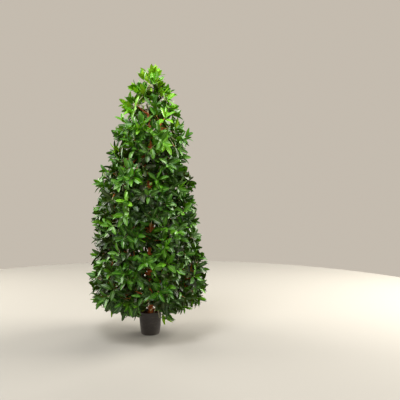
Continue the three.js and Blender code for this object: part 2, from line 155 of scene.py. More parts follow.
CORE_DISORDER = 0.9  # how far they point every way
CORE_TWIG_SHARE = 0.3  # of a coarse twig's length, where the core looks for the one to grow on

# Sizes: the boldest tufts
BOLD_LEFT = (  # height of each bold tuft's outermost leaf tip, and its distance from the axis
    (1.690, 0.128), (1.585, 0.192), (1.385, 0.258), (1.250, 0.284), (1.090, 0.362),
    (1.040, 0.396), (0.885, 0.389), (0.790, 0.409), (0.640, 0.409), (0.500, 0.412),
    (0.415, 0.421), (0.235, 0.421), (0.150, 0.315),
)
BOLD_RIGHT = (
    (1.672, 0.162), (1.560, 0.184), (1.440, 0.237), (1.372, 0.298), (1.240, 0.250),
    (1.100, 0.272), (1.005, 0.318), (0.905, 0.330), (0.800, 0.330), (0.570, 0.372),
    (0.430, 0.400), (0.345, 0.402), (0.235, 0.364), (0.155, 0.245),
)
BOLD_TILT = (  # height, and the rise of the tufts' axes there for each metre outwards
    (0.15, -0.8), (0.22, -0.1), (0.70, -0.1), (1.20, 0.35), (1.70, 1.05),
)
BOLD_TURNS = ((0, 0.0, 1.0), (66, 0.045, 0.98), (-66, -0.045, 0.97))  # repeats: turn, rise, share of reach
BOLD_REPEATS_BELOW_Z = (1.45, 1.62)  # in front and behind
BOLD_SHOOTS = ((0.000, 0.000), (-0.030, 0.022), (0.034, 0.040))  # aside of its line, back from its tip
BOLD_SLANT = 0.25  # a side shoot lies this much up or down from the line for each part aside
BOLD_LEAN = 0.7  # how far it leans aside
BOLD_LEAF_SHARE = 0.76  # of a leaf's length, which the outermost leaf reaches past its shoot
BOLD_TWIG_SHARE = 0.8  # of a coarse twig's length, where a bold tuft looks for the one to grow on

# Sizes: leaves
SHOOT_LEAVES = (5, 7)
HIDDEN_LEAVES = (3, 6)
LEAF_LENGTH = 0.090
LEAF_WIDTH = 0.0315
LEAF_THICKNESS = 0.0005
LEAF_ROWS = (0, 0.07, 0.19, 0.4, 0.62, 0.82, 0.94, 1)  # of its length, where its rows of faces part
LEAF_COLUMNS = (-1, -0.55, -0.075, 0.075, 0.55, 1)  # of its half-width; the middle pair is the midrib
HIDDEN_ROWS = (0, 0.08, 0.4, 0.75, 1)
HIDDEN_COLUMNS = (-1, 0, 1)
STALK_WIDTH = 0.085  # of the blade's width
BLADE_SKEW = 0.95  # below 1 the blade is widest a little nearer to its root
BLADE_POWER = 0.66  # how full the blade is between its ends
BLADE_SWELL = 5.2  # in thicknesses: the upper side swells by a quarter of this halfway to its edges,
RIB_RISE = 0.25  # its midrib stands up by this,
UNDER_DEPTH = 1.3  # and the middle of the underside lies this far below the edges
EDGE_WAVES = 9  # radians of the edge's wave over its length
FIRST_LEAF = 0.001  # from a shoot's tip back to its first leaf
LEAF_STEP = 0.0062  # and on to each next one
AXIS_PLAY = 0.22  # each way, by chance, in the direction that a shoot's leaves stand round
UPRIGHT_Z = (1.3, 1.7)  # heights between which the leaves go from wide open to upright
DROOPING_Z = (0.50, 0.20)  # heights between which they come to droop
FIRST_SPREAD = (20, 8)  # degrees off the shoot for its first leaf, where leaves are open and upright
SPREAD_STEP = (11.5, 8)  # and for each next one
SPREAD_PLAY = 10
WIDEST_SPREAD = math.radians(95)
YOUNGEST_LENGTH = 0.8  # of a full-grown leaf
LENGTH_STEP = 0.08  # from each leaf of a shoot to the next
LENGTH_PLAY = (0.84, 1.1)
WIDTH_PLAY = (0.84, 1.12)
TRIES = 14
TRY_TURN = 0.45  # a leaf that doesn't fit is turned round its shoot by this, each time,
TRY_SPREAD = 0.05  # spread by this,
TRY_LENGTH = 0.99  # and shortened to this share

# Sizes: where leaves may be
LEAF_REACH = 0.003  # leaf tips pass the outline by this, besides what their tuft stands out
UNDERSIDE_Z = CROWN_FOOT_Z + 0.02  # leaves lower than this keep to the outline here
SPIRE_R = 0.055  # the leaves of the leader stay in a cone of this radius at the very top
SPIRE_SLOPE = 1.0  # that widens by this for each metre down
LOWEST_LEAF_Z = 0.096
TRUNK_CLEAR = 0.018  # between the trunk's bark and any leaf
POT_CLEAR = 0.006
BOX_PLAY = 0.010  # leaf tips may pass the solids' box by this, sideways,
BOX_TOP_CLEAR = 0.001  # and stay this far inside it in height
SIGHT_GAPS = (  # height and radius of the gaps between tufts where the trunk shows
    (0.168, 0.026), (0.425, 0.022), (0.565, 0.022), (0.735, 0.024),
    (1.020, 0.026), (1.275, 0.022), (1.505, 0.020),
)
POT_SIGHT = (-0.052, 0.080)  # sideways span of the pot that the leaves in front of it leave in sight
POT_SIGHT_TOP_Z = 0.152

# Sizes: pot
POT_HEIGHT = 0.155
POT_FOOT_R = 0.063
POT_FOOT_ROUND = 0.005
POT_WALLS = ((0.0705, 0.058), (0.0745, 0.120), (0.0760, 0.149))  # outside radius and height
POT_WALL = 0.0026
POT_WALL_FROM_Z = 0.012
POT_FLOOR = 0.004
POT_LIP = 0.0016  # radius of the rolled rim
POT_LIP_INSET = 0.0006
RIM_DEPTH = 0.004  # the inside wall ends this far below the rim
FILL_TOP_Z = 0.134
DRESSING_TOP_Z = 0.143
DRESSING_R = 0.0718
DRESSING_FALL = 0.006  # from its middle to its edge
BED_DEPTH = 0.0022  # the bed lies this far below the chips' tops
CHIPS = 520
CHIP_SIZES = ((0.0035, 0.0085), (0.002, 0.004), (0.0007, 0.0015))  # half of its length, width, thickness
CHIP_HEAP = 0.0022  # chips lie up to this far on top of each other
CHIP_TONES = (  # name, dark and light colour, share of the chips
    ("dark_chips", "#2d1a10", "#54301c", 0.4),
    ("russet_chips", "#4e2a18", "#7f4a2a", 0.42),
    ("tan_chips", "#6a4227", "#97683f", 0.18),
)

# The leaves' greens, from the youngest to the deepest, each in three tints, with the colour of their
# undersides and of their midribs and stalks. The undersides are paler, partly as real leaves' undersides
# are and partly as painted light shining through the leaf.
LEAF_GREENS = {
    # the young greens, dealt out most at the top and on tufts that stand out, are partly painted light
    # shining through the leaves
    "young": (("#64a806", "#70b408", "#549a04"), "#8fbe22", "#b8c874"),
    "fresh": (("#3d7404", "#4a8206", "#326804"), "#56880f", "#86a842"),
    "mature": (("#264804", "#305405", "#1d3e03"), "#38560b", "#6c9042"),
    "deep": (("#243204", "#2a3c05", "#1c2a03"), "#364006", "#566c2a"),
}
TINTS = 3
AGE_ODDS = (  # for each ring of a tuft and for the core: the fresh share and the mature one, the rest deep
    (0.50, 0.38),
    (0.26, 0.52),
    (0.10, 0.50),
    (0.03, 0.32),
    (0.00, 0.15),
)
YOUNG_AND_GLOWING_TOP_Z = (1.2, 1.7)  # heights between which leaves are younger and younger, and paler, partly as painted light shining through them
TOP_YOUTH_AND_GLOW = (0.7, 0.4)  # how much more is young, and how much more fresh, at the very top: partly painted light shining through the top leaves
BOLD_YOUTH_AND_GLOW = (0.4, 0.3)  # and in tufts that stand out: partly painted light shining through the edge tufts
BOLD_FROM = 0.8  # of the boldest sprays' stand, where a tuft begins to count as standing out
YOUNGER_LEAVES = 2  # at a shoot's tip, some of which are an age younger than the rest
YOUNGER_SHARE = 0.4

# The photograph's view
PHOTO_SIDE = 400
PHOTO_FOCAL_PX = 560
SENSOR = 36
CAMERA_AT = (0.341, -3.8, 1.10)
CAMERA_PITCH = -2.78  # degrees from the level, here downwards

# The studio
FLOOR_R = 3.2
BACKDROP = "#c9c0b3"
BACKDROP_SEEN = 0.95  # how strong it is to the eye,
BACKDROP_GLOW = 0.17  # and as light on the plant
LIGHTS = (  # name, place, what it is aimed at, side, watts, colour
    ("top", (-0.7, -1.7, 4.2), (0, 0, 1.1), 1.4, 155, (0.96, 0.98, 1.0)),
    ("left", (-3.3, 1.1, 2.2), (0, 0, 0.9), 2.6, 250, (1.0, 0.97, 0.90)),
    ("right", (3.3, 1.1, 2.4), (0, 0, 0.9), 2.6, 400, (1.0, 0.97, 0.90)),
    ("front", (0.5, -4.8, 1.7), (0, 0, 0.8), 1.4, 50, (1.0, 0.98, 0.94)),
    ("back", (0.3, 3.6, 4.2), (0.3, 2.6, 0), 2.4, 110, (1.0, 0.97, 0.92)),
)

UP = np.array([0.0, 0.0, 1.0])
rng = np.random.default_rng(LEAF_SEED)


def unit(v):
    return v / np.linalg.norm(v, axis=-1, keepdims=True)


def lerp(a, b, t):
    return a + (b - a) * t


def progress(value, start, end):
    """How far a value is on its way from start to end, from 0 to 1."""
    return np.clip((value - start) / (end - start), 0, 1)


def square_to(axis, turn):
    """For each axis the direction square to it at a turn round it."""
    rest = np.where(np.abs(axis[:, 2:]) > 0.9, [[1.0, 0, 0]], [UP])
    across = unit(np.cross(axis, rest))
    return across * np.cos(turn)[:, None] + np.cross(axis, across) * np.sin(turn)[:, None]


def path_of(curve, start, end):
    """A stretch of a curve as a path from 0 to 1 that gives points and directions."""

    def path(t):
        here = lerp(start, end, t)
        ahead = curve(here + NUDGE) - curve(here - NUDGE)
        return curve(here)[None], unit(ahead)[None]

    return path


def dice(seed):
    """A stream of numbers from 0 to 1, the one that deals out the solids' sprays."""
    state = (seed * 7919 + 17) % 2**32
    while True:
        state = (1664525 * state + 1013904223) % 2**32
        yield state / 2**32


def outline_radius(z):
    """The crown's even outline."""
    below = progress(z, WIDEST_Z, CROWN_FOOT_Z)
    above = progress(z, WIDEST_Z, OUTLINE_TOP_Z)
    lower = (1 - below**UNDERSIDE_POWER) ** (1 / UNDERSIDE_POWER)
    upper = (1 - above**SHOULDER_POWER) ** TAPER_POWER
    return CROWN_RADIUS * np.where(z < WIDEST_Z, lower, upper)


def outline_table():
    """Half of the outline as points, with the outward normal and the share of the crown below each."""
    number = np.arange(OUTLINE_STEPS + 1)
    tall = np.where(number < OUTLINE_STEPS / 2, WIDEST_Z - CROWN_FOOT_Z, OUTLINE_TOP_Z - WIDEST_Z)
    z = WIDEST_Z - np.cos(np.pi * number / OUTLINE_STEPS) * tall
    r = outline_radius(z)
    before = np.maximum(number - 1, 0)
    after = np.minimum(number + 1, OUTLINE_STEPS)
    run = np.hypot(r[after] - r[before], z[after] - z[before])
    wanted = (z > WIDEST_Z) | (r > LEAST_UNDERSIDE_R)
    crowding = 1 + TOP_CROWDING * progress(z, WIDEST_Z, OUTLINE_TOP_Z)
    area = np.cumsum(np.where(wanted, crowding * r * np.hypot(r - r[before], z - z[before]), 0))
    return SimpleNamespace(
        r=r, z=z, nr=(z[after] - z[before]) / run, nz=(r[before] - r[after]) / run, share=area / area[-1]
    )


OUTLINE = outline_table()


def spiral_places(count, depth, turn):
    """Places spread evenly over the crown in a golden spiral, set in from its outline by a depth."""
    number = np.arange(count)
    here = np.searchsorted(OUTLINE.share, (number + 0.5) / count)
    r = np.maximum(OUTLINE.r[here] - depth * OUTLINE.nr[here], INNERMOST * OUTLINE.r[here])
    z = OUTLINE.z[here] - depth * OUTLINE.nz[here]
    cos, sin = np.cos(turn + number * GOLDEN_TURN), np.sin(turn + number * GOLDEN_TURN)
    at = np.stack([r * cos, r * sin, z], axis=-1)
    normal = np.stack([OUTLINE.nr[here] * cos, OUTLINE.nr[here] * sin, OUTLINE.nz[here]], axis=-1)
    return at, normal


def trunk_at(z):
    """The crooked trunk's middle line."""
    climb = (z - TRUNK_FOOT_Z) / TRUNK_BEND_PITCH
    on_line = math.sin(TRUNK_BEND_START) * np.exp(-TRUNK_BEND_ONSET * climb)
    x = TRUNK_BEND * (np.sin(2 * np.pi * climb + TRUNK_BEND_START) - on_line)
    y = DEPTH_BEND * TRUNK_BEND * np.sin(DEPTH_BEND_TURNS * np.pi * climb)
    return np.stack([x, y, z + 0 * climb], axis=-1)


def trunk_radius(z):
    climb = (z - TRUNK_FOOT_Z) / (TRUNK_TIP_Z - TRUNK_FOOT_Z)
    flare = ROOT_FLARE * np.exp(-(z - TRUNK_FOOT_Z) / ROOT_FLARE_FADE)
    return lerp(TRUNK_FOOT_R, TRUNK_TIP_R, climb) + flare


class Limb:
    """A bough from the trunk as far as its share `bare`, and from there on the stem of its mass."""

    def __init__(self, foot, centre, sag_share, bare):
        self.foot, self.centre, self.bare = foot, centre, bare
        self.length = float(np.linalg.norm(centre - foot))
        self.sag = 4 * sag_share * self.length

    def at(self, u):
        u = np.asarray(u, float)[..., None]
        return lerp(self.foot, self.centre, u) - UP * self.sag * u * (1 - u)


def limbs():
    """The boughs in a spiral up the trunk, and last the trunk's own leader."""
    made = []
    surface, normal = spiral_places(BOUGHS + 1, 0, FIRST_BOUGH_TURN)
    for k in range(BOUGHS):
        reach = np.hypot(surface[k, 0], surface[k, 1])
        centre = surface[k] - CENTRE_DEPTH_SHARE * reach * normal[k]
        out = np.hypot(centre[0], centre[1])
        lowest = TRUNK_FOOT_Z + (2 + k) * BOUGH_STEP
        foot = trunk_at(max(centre[2] - BOUGH_RISE * out, lowest))
        made.append(Limb(foot, centre, BOUGH_SAG, BOUGH_SHARE))
    tip = trunk_at(TRUNK_TIP_Z)
    onwards = TOP_STEM * unit(trunk_at(TRUNK_TIP_Z + NUDGE) - trunk_at(TRUNK_TIP_Z - NUDGE))
    made.append(Limb(tip, tip + onwards, 0, 0))
    return made


LIMBS = limbs()
CENTRES = np.array([limb.centre for limb in LIMBS])
MASS_NAMES = [f"{k + 1:02d}" for k in range(BOUGHS)] + ["top"]


def bow(foot, handle, tip, t):
    """Points at t along bows from foot to tip that set out towards their handle, and their directions."""
    t = np.asarray(t, float)[..., None]
    at = (1 - t) ** 2 * foot + 2 * t * (1 - t) * handle + t**2 * tip
    ahead = (1 - t) * (handle - foot) + t * (tip - handle)
    return at, unit(ahead)


def coarse_twigs():
    """The solids' own twigs. Each leaves its mass's stem for the end of one spray."""
    roll = dice(SEED)
    stand = np.array([TUFT * next(roll) for _ in range(SPRAYS)] + [TUFT / 2])
    tip, normal = spiral_places(SPRAYS, SPRAY_INSET - stand[:-1], 0)
    mass = np.linalg.norm(tip[:, None] - CENTRES, axis=-1).argmin(axis=1)
    leader = LIMBS[-1].at((LEADER_Z - TRUNK_TIP_Z) / TOP_STEM)
    tip, normal = np.vstack([tip, leader]), np.vstack([normal, UP])
    mass = np.append(mass, BOUGHS)
    foot = np.empty_like(tip)
    handle = np.empty_like(tip)
    for i, k in enumerate(mass):
        limb = LIMBS[k]
        start = limb.at(limb.bare)
        along = unit(limb.centre - start)
        ahead = (tip[i] - start) @ along
        aside = np.linalg.norm(tip[i] - start - ahead * along)
        level = (ahead - TWIG_SLANT * aside) / np.linalg.norm(limb.centre - start)
        run = np.clip(level, TWIGS_FROM, TWIGS_TO)
        foot[i] = limb.at(lerp(limb.bare, 1, run))
        handle[i] = foot[i] + TWIG_BOW * np.linalg.norm(tip[i] - foot[i]) * along
    return SimpleNamespace(foot=foot, handle=handle, tip=tip, normal=normal, stand=stand, mass=mass)


TWIGS = coarse_twigs()


def fuller(at):
    """How far the crown's outline is off the even one at these places."""
    out = np.maximum(np.hypot(at[..., 0], at[..., 1]), LEAN_FROM_R)
    return np.interp(at[..., 2], *np.transpose(CROWN_LEAN)) * at[..., 0] / out


def shoots_to(tip, axis, twig, ring, stand):
    """Shoots of one ring to the given places, each from a point part of the way along its twig."""
    chord = TWIGS.tip[twig] - TWIGS.foot[twig]
    length = np.linalg.norm(chord, axis=-1)
    ahead = np.einsum("ij,ij->i", tip - TWIGS.foot[twig], chord) / length
    aside = np.linalg.norm(tip - TWIGS.foot[twig] - (ahead / length)[:, None] * chord, axis=-1)
    run = np.clip((ahead - aside) / length, SHOOTS_FROM, SHOOTS_TO)
    foot, along = bow(TWIGS.foot[twig], TWIGS.handle[twig], TWIGS.tip[twig], run)
    handle = foot + SHOOT_BOW * np.linalg.norm(tip - foot, axis=-1, keepdims=True) * along
    rings = np.full(len(tip), ring)
    return SimpleNamespace(
        foot=foot, handle=handle, tip=tip, axis=axis, ring=rings, stand=stand, mass=TWIGS.mass[twig]
    )


def tuft_shoots():
    """The tuft of shoots that each coarse twig carries, slimmer where the crown is slim."""
    heading = unit(TUFT_ALONG * unit(TWIGS.tip - TWIGS.foot) + TWIGS.normal)
    end = TWIGS.tip + (SPRAY_INSET - TIP_DEPTH) * heading
    slim = progress(outline_radius(TWIGS.tip[:, 2]), *SLIM_CROWN)
    made = []
    for number, (off, back, shoots, lean) in enumerate(TUFT_RINGS):
        start = rng.uniform(0, 2 * np.pi, len(end))
        for k in range(shoots):
            twig = np.flatnonzero((k + 1 <= slim * shoots) | (number == 0))
            play = rng.uniform(-RING_PLAY, RING_PLAY, len(twig))
            out = square_to(heading[twig], start[twig] + 2 * np.pi * (k + play) / shoots)
            tip = end[twig] - back * heading[twig] + off * out
            tip = tip + SHOOT_PLAY * rng.uniform(-1, 1, tip.shape) + fuller(tip)[:, None] * heading[twig]
            tip[:, 2] = np.maximum(tip[:, 2], rng.uniform(*LOWEST_SHOOTS_Z, len(twig)))
            axis = unit(heading[twig] + lean * out)
            made.append(shoots_to(tip, axis, twig, number, TWIGS.stand[twig]))
    return made


def nearest_twig(at, along):
    """The coarse twig that passes nearest to each place, taken at a share of its length."""
    on_twig = bow(TWIGS.foot, TWIGS.handle, TWIGS.tip, along)[0]
    return np.linalg.norm(at[:, None] - on_twig, axis=-1).argmin(axis=1)


def bold_places():
    """The boldest tufts at both sides, and their like in front and behind: for each the way out to it, the
    height it is copied from, its outermost leaf tip and how far that reaches from the axis."""
    front, behind = BOLD_REPEATS_BELOW_Z
    for side, tufts in ((math.pi, BOLD_LEFT), (0.0, BOLD_RIGHT)):
        for z, reach in tufts:
            for turn, rise, share in BOLD_TURNS:
                angle = side + math.radians(turn)
                highest = front if math.sin(angle) < 0 else behind
                if turn == 0 or z <= highest:
                    out = np.array([math.cos(angle), math.sin(angle), 0])
                    yield out, z, out * reach * share + UP * (z + rise), reach * share


def bold_shoots():
    """The shoots of the boldest tufts."""
    tips, axes, stands = [], [], []
    for out, z, leaf_tip, reach in bold_places():
        axis = unit(out + UP * np.interp(z, *np.transpose(BOLD_TILT)))
        beside = np.cross(axis, UP)
        aside = beside + BOLD_SLANT * np.cross(beside, axis)
        top = leaf_tip - LEAF_LENGTH * BOLD_LEAF_SHARE * axis
        stand = reach - outline_radius(leaf_tip[2]) - fuller(top)
        for off, back in BOLD_SHOOTS:
            tips.append(top + off * aside - back * axis)
            axes.append(unit(axis + np.sign(off) * BOLD_LEAN * aside))
            stands.append(stand)
    tips = np.array(tips)
    twig = nearest_twig(tips, BOLD_TWIG_SHARE)
    return shoots_to(tips, np.array(axes), twig, 0, np.maximum(stands, TWIGS.stand[twig]))


def leader_shoots():
    """The whorls that climb the leader to the topmost leaf."""
    tip = np.array(LEADER_WHORLS)
    axis = unit(UP + LEADER_OPEN * (tip - tip[0]) * [1, 1, 0])
    twig = np.full(len(tip), SPRAYS)
    return shoots_to(tip, axis, twig, 0, TWIGS.stand[twig])


def core_shoots():
    """Shoots deep inside the crown, so that it is dark between its tufts and not a shell."""
    depth = rng.uniform(*CORE_DEPTHS, CORE_SHOOTS)
    tip, normal = spiral_places(CORE_SHOOTS, depth, CORE_TURN)
    tip = tip + 2 * SHOOT_PLAY * rng.uniform(-1, 1, tip.shape)
    inside = (tip[:, 2] < CORE_TOP_Z) & (tip[:, 2] > LOWEST_SHOOTS_Z[0])
    turn = np.arange(HEART_SHOOTS) * GOLDEN_TURN
    out = np.stack([np.cos(turn), np.sin(turn), 0 * turn], axis=-1)
    heart = trunk_at(np.linspace(*HEART_Z, HEART_SHOOTS)) + HEART_R * out
    tip, normal = np.concatenate([tip[inside], heart]), np.concatenate([normal[inside], out])
    twig = nearest_twig(tip, CORE_TWIG_SHARE)
    axis = unit(normal + CORE_DISORDER * rng.normal(0, 1, tip.shape))
    return shoots_to(tip, axis, twig, len(TUFT_RINGS), TWIGS.stand[twig])


def all_of(*groups):
    """Several groups of equal fields as one."""
    names = vars(groups[0])
    return SimpleNamespace(**{n: np.concatenate([getattr(g, n) for g in groups]) for n in names})


def some_of(group, wanted):
    return SimpleNamespace(**{n: values[wanted] for n, values in vars(group).items()})


SHOOTS = all_of(*tuft_shoots(), bold_shoots(), leader_shoots(), core_shoots())


def shoot_ages():
    """Which green each shoot's leaves have: younger and paler near the top and on tufts that stand out,
    partly as painted light shining through them, and deep inside.
    """
    fresh_odds, mature_odds = np.transpose(AGE_ODDS)[:, SHOOTS.ring]
    top = progress(SHOOTS.tip[:, 2], *YOUNG_AND_GLOWING_TOP_Z)
    bold = np.clip(SHOOTS.stand / TUFT - BOLD_FROM, 0, 1) * (SHOOTS.ring == 0)
    # painted light: the extra young and fresh greens at the top and on tufts that stand out stand partly
    # for light shining through them
    young = TOP_YOUTH_AND_GLOW[0] * top * (SHOOTS.ring < HIDDEN_RING) + BOLD_YOUTH_AND_GLOW[0] * bold
    fresh = young + fresh_odds + TOP_YOUTH_AND_GLOW[1] * top + BOLD_YOUTH_AND_GLOW[1] * bold
    roll = rng.random(len(top))
    return (roll > young).astype(int) + (roll > fresh) + (roll > fresh + mature_odds)


def leaf_points(leaves, across, along, level):
    """Points on every leaf. A leaf's blade is folded along its midrib, bends back along its length and
    waves a little at its edges. across is in half-widths, along in lengths, level in thicknesses."""
    length, width, bend, fold, wave, phase = (
        getattr(leaves, n)[:, None] for n in ("length", "width", "bend", "fold", "wave", "phase")
    )
    turn = bend * along
    forward = length * np.sin(turn) / bend
    back = length * (1 - np.cos(turn)) / bend
    lift = fold * np.abs(across) * width / 2 + level * LEAF_THICKNESS
    lift = lift + wave * across * np.abs(across) * np.sin(EDGE_WAVES * along + phase) * width
    x = across * width / 2
    y = forward + lift * np.sin(turn)
    z = lift * np.cos(turn) - back
    frames = np.stack([leaves.side, leaves.ahead, leaves.up], axis=1)
    return leaves.root[:, None] + np.einsum("nvk,nkd->nvd", np.stack([x, y, z], axis=-1), frames)


# Where a leaf is tested: along its midrib, and at its edges.
TEST_ACROSS = np.array([0, 0, 0, 0, -1, 1, -0.8, 0.8])
TEST_ALONG = np.array([0.25, 0.5, 0.75, 1, 0.45, 0.45, 0.7, 0.7])


def in_sight_gap(at):
    """Whether points hide one of the places where the trunk shows, or the pot."""
    eye = np.array(CAMERA_AT)
    seen = eye + (at - eye) * (-eye[1] / (at[..., 1:2] - eye[1]))
    left, right = POT_SIGHT
    over_pot = (seen[..., 0] > left) & (seen[..., 0] < right) & (seen[..., 2] < POT_SIGHT_TOP_Z)
    hidden = over_pot & (at[..., 1] < 0)
    for z, radius in SIGHT_GAPS:
        trunk = trunk_at(z)
        sight = unit(eye - trunk)
        ahead = (at - trunk) @ sight
        aside = np.linalg.norm(at - trunk - ahead[..., None] * sight, axis=-1)
        hidden |= (ahead > 0) & (aside < radius)
    return hidden


def fits(leaves):
    """Whether each leaf stays in the crown's outline and clear of the trunk and the pot."""
    at = leaf_points(leaves, TEST_ACROSS, TEST_ALONG, 0 * TEST_ALONG)
    x, y, z = at[..., 0], at[..., 1], at[..., 2]
    out = np.hypot(x, y)
    reach = leaves.stand[:, None] + LEAF_REACH + fuller(at)
    inwards = np.where(z > WIDEST_Z, np.maximum(z - reach, WIDEST_Z), np.minimum(z + reach, WIDEST_Z))
    in_crown = out < outline_radius(np.maximum(inwards, UNDERSIDE_Z)) + reach
    in_spire = out < SPIRE_R + SPIRE_SLOPE * (HEIGHT - z)
    play = np.array([BOX_PLAY, BOX_PLAY, -BOX_TOP_CLEAR])
    in_box = (at > np.array(cad_low) - play) & (at < np.array(cad_high) + play)
    off_floor = z > LOWEST_LEAF_Z
    level = np.clip(z, TRUNK_FOOT_Z, TRUNK_TIP_Z)
    trunk = trunk_at(level)
    off_trunk = np.hypot(x - trunk[..., 0], y - trunk[..., 1]) > trunk_radius(level) + TRUNK_CLEAR
    off_trunk |= z > TRUNK_TIP_Z
    off_pot = (z > POT_HEIGHT + POT_CLEAR) | (out > POT_WALLS[-1][0] + POT_CLEAR)
    fit = in_crown & in_spire & in_box.all(axis=-1) & off_floor & off_trunk & off_pot & ~in_sight_gap(at)
    return fit.all(axis=1)


def leaf_frames(leaves):
    """Sets each leaf's directions from its spread off the shoot's axis and its place round it."""
    out = square_to(leaves.axis, leaves.around)
    ahead = leaves.axis * np.cos(leaves.spread)[:, None] + out * np.sin(leaves.spread)[:, None]
    ahead = unit(ahead - leaves.droop[:, None] * UP)
    face = leaves.axis - 0.4 * out + 0.25 * UP
    leaves.side = unit(np.cross(ahead, face))
    leaves.ahead = ahead
    leaves.up = np.cross(leaves.side, ahead)


def settled(leaves):
    """The leaves, turned, spread and shortened until they fit. Those that still don't are left out."""
    for _ in range(TRIES):
        leaf_frames(leaves)
        crowded = ~fits(leaves)
        leaves.around[crowded] += TRY_TURN
        leaves.spread[crowded] += TRY_SPREAD
        leaves.length[crowded] *= TRY_LENGTH
        leaves.width[crowded] *= TRY_LENGTH
    leaf_frames(leaves)
    return some_of(leaves, fits(leaves))


def grow_leaves():
    """The leaves of every shoot: the youngest at its tip, close and upright, then wider and wider open."""
    hidden = SHOOTS.ring >= HIDDEN_RING
    least = np.where(hidden, HIDDEN_LEAVES[0], SHOOT_LEAVES[0])
    most = np.where(hidden, HIDDEN_LEAVES[1], SHOOT_LEAVES[1])
    count = rng.integers(least, most + 1)
    shoot = np.repeat(np.arange(len(count)), count)
    place = np.concatenate([np.arange(n) for n in count])
    total = len(shoot)
    run = np.linalg.norm(SHOOTS.tip - SHOOTS.handle, axis=-1)
    share = np.clip(1 - 0.5 * (FIRST_LEAF + LEAF_STEP * place) / run[shoot], 0.1, 1)
    root = bow(SHOOTS.foot[shoot], SHOOTS.handle[shoot], SHOOTS.tip[shoot], share)[0]
    play = AXIS_PLAY * rng.uniform(-1, 1, (len(count), 3))
    tip_heading = bow(SHOOTS.foot, SHOOTS.handle, SHOOTS.tip, np.ones(len(count)))[1]
    top = progress(SHOOTS.tip[:, 2], *UPRIGHT_Z)
    low = progress(SHOOTS.tip[:, 2], *DROOPING_Z)
    rise = (0.25 + 0.75 * top - 0.35 * low - 0.5 * low**3)[:, None] * UP
    axis = unit(0.6 * tip_heading + SHOOTS.axis + rise + play)[shoot]
    top, low = top[shoot], low[shoot]
    spread = lerp(*FIRST_SPREAD, top) + lerp(*SPREAD_STEP, top) * place
    spread = np.radians(spread + rng.uniform(-SPREAD_PLAY, SPREAD_PLAY, total))
    grown = np.clip(YOUNGEST_LENGTH + LENGTH_STEP * place, 0, 1)
    length = LEAF_LENGTH * grown * rng.uniform(*LENGTH_PLAY, total)
    start = rng.uniform(0, 2 * np.pi, len(count))[shoot]
    leaves = SimpleNamespace(
        root=root,
        axis=axis,
        around=start + place * GOLDEN_TURN + rng.normal(0, 0.3, total),
        spread=np.minimum(spread, WIDEST_SPREAD),
        droop=(lerp(0.20, 0.02, top) + 0.22 * low) * np.sin(spread) * rng.uniform(0.0, 2.0, total),
        length=length,
        width=length * LEAF_WIDTH / LEAF_LENGTH * rng.uniform(*WIDTH_PLAY, total),
        bend=rng.uniform(0.1, lerp(0.8, 0.3, top)),
        fold=rng.uniform(0.15, lerp(0.5, 0.3, top)),
        wave=rng.uniform(0.0, 0.07, total),
        phase=rng.uniform(0, 2 * np.pi, total),
        stand=SHOOTS.stand[shoot],
        hidden=hidden[shoot],
        age=shoot_ages()[shoot],
        tint=rng.integers(0, TINTS, len(count))[shoot],
        mass=SHOOTS.mass[shoot],
    )
    leaves.width *= 1 + 0.1 * top - 0.22 * low**2
    leaves.age -= (place < YOUNGER_LEAVES) & (leaves.age > 1) & (rng.random(total) < YOUNGER_SHARE)
    return settled(leaves)


def template_of(bm, role_of):
    """A small mesh as arrays, to be repeated: its points, faces, and each face's role."""
    bm.verts.index_update()
    made = SimpleNamespace(
        points=np.array([v.co for v in bm.verts]),
        corners=np.array([v.index for f in bm.faces for v in f.verts]),
        sizes=np.array([len(f.verts) for f in bm.faces]),
        roles=np.array([role_of(f) for f in bm.faces]),
    )
    bm.free()
    return made


def grid_rows(verts, columns, rows):
    """Moves a square grid's points to the given columns and rows."""
    for v in verts:
        column = round((v.co.x + 1) / 2 * (len(columns) - 1))
        row = round((v.co.y + 1) / 2 * (len(rows) - 1))
        v.co.x, v.co.y = columns[column], rows[row]


def blade_width(t):
    """A leaf's width at t of its length: a slim stalk, then a pointed ellipse. The widest is 1."""
    stalk = LEAF_ROWS[1]
    if t <= 0 or t >= 1:
        return 0.0
    if t <= stalk:
        return STALK_WIDTH
    return math.sin(math.pi * ((t - stalk) / (1 - stalk)) ** BLADE_SKEW) ** BLADE_POWER


LEAF_UPPER, LEAF_UNDER, LEAF_RIB = 0, 1, 2


def leaf_template(columns, rows):
    """A leaf as a closed blade: an upper grid, which the fuller leaf's midrib parts, and a plainer one
    below."""
    bm = bmesh.new()
    for across, upper in ((columns, True), ((-1, 0, 1), False)):
        grid = bmesh.ops.create_grid(bm, x_segments=len(across) - 1, y_segments=len(rows) - 1, size=1)
        grid_rows(grid["verts"], across, rows)
        for v in grid["verts"]:
            width = blade_width(v.co.y)
            edge = 1 - abs(v.co.x)
            rise = BLADE_SWELL * edge * (1 - edge) + RIB_RISE * edge if upper else -UNDER_DEPTH * edge
            v.co.z = rise * math.sqrt(width)
            v.co.x *= width
    bmesh.ops.remove_doubles(bm, verts=bm.verts, dist=1e-5)
    bmesh.ops.recalc_face_normals(bm, faces=bm.faces)

    def role_of(face):
        middle = face.calc_center_median()
        if middle.y < rows[1] or (face.normal.z > 0 and abs(middle.x) < 0.02):
            return LEAF_RIB
        return LEAF_UPPER if face.normal.z > 0 else LEAF_UNDER

    return template_of(bm, role_of)


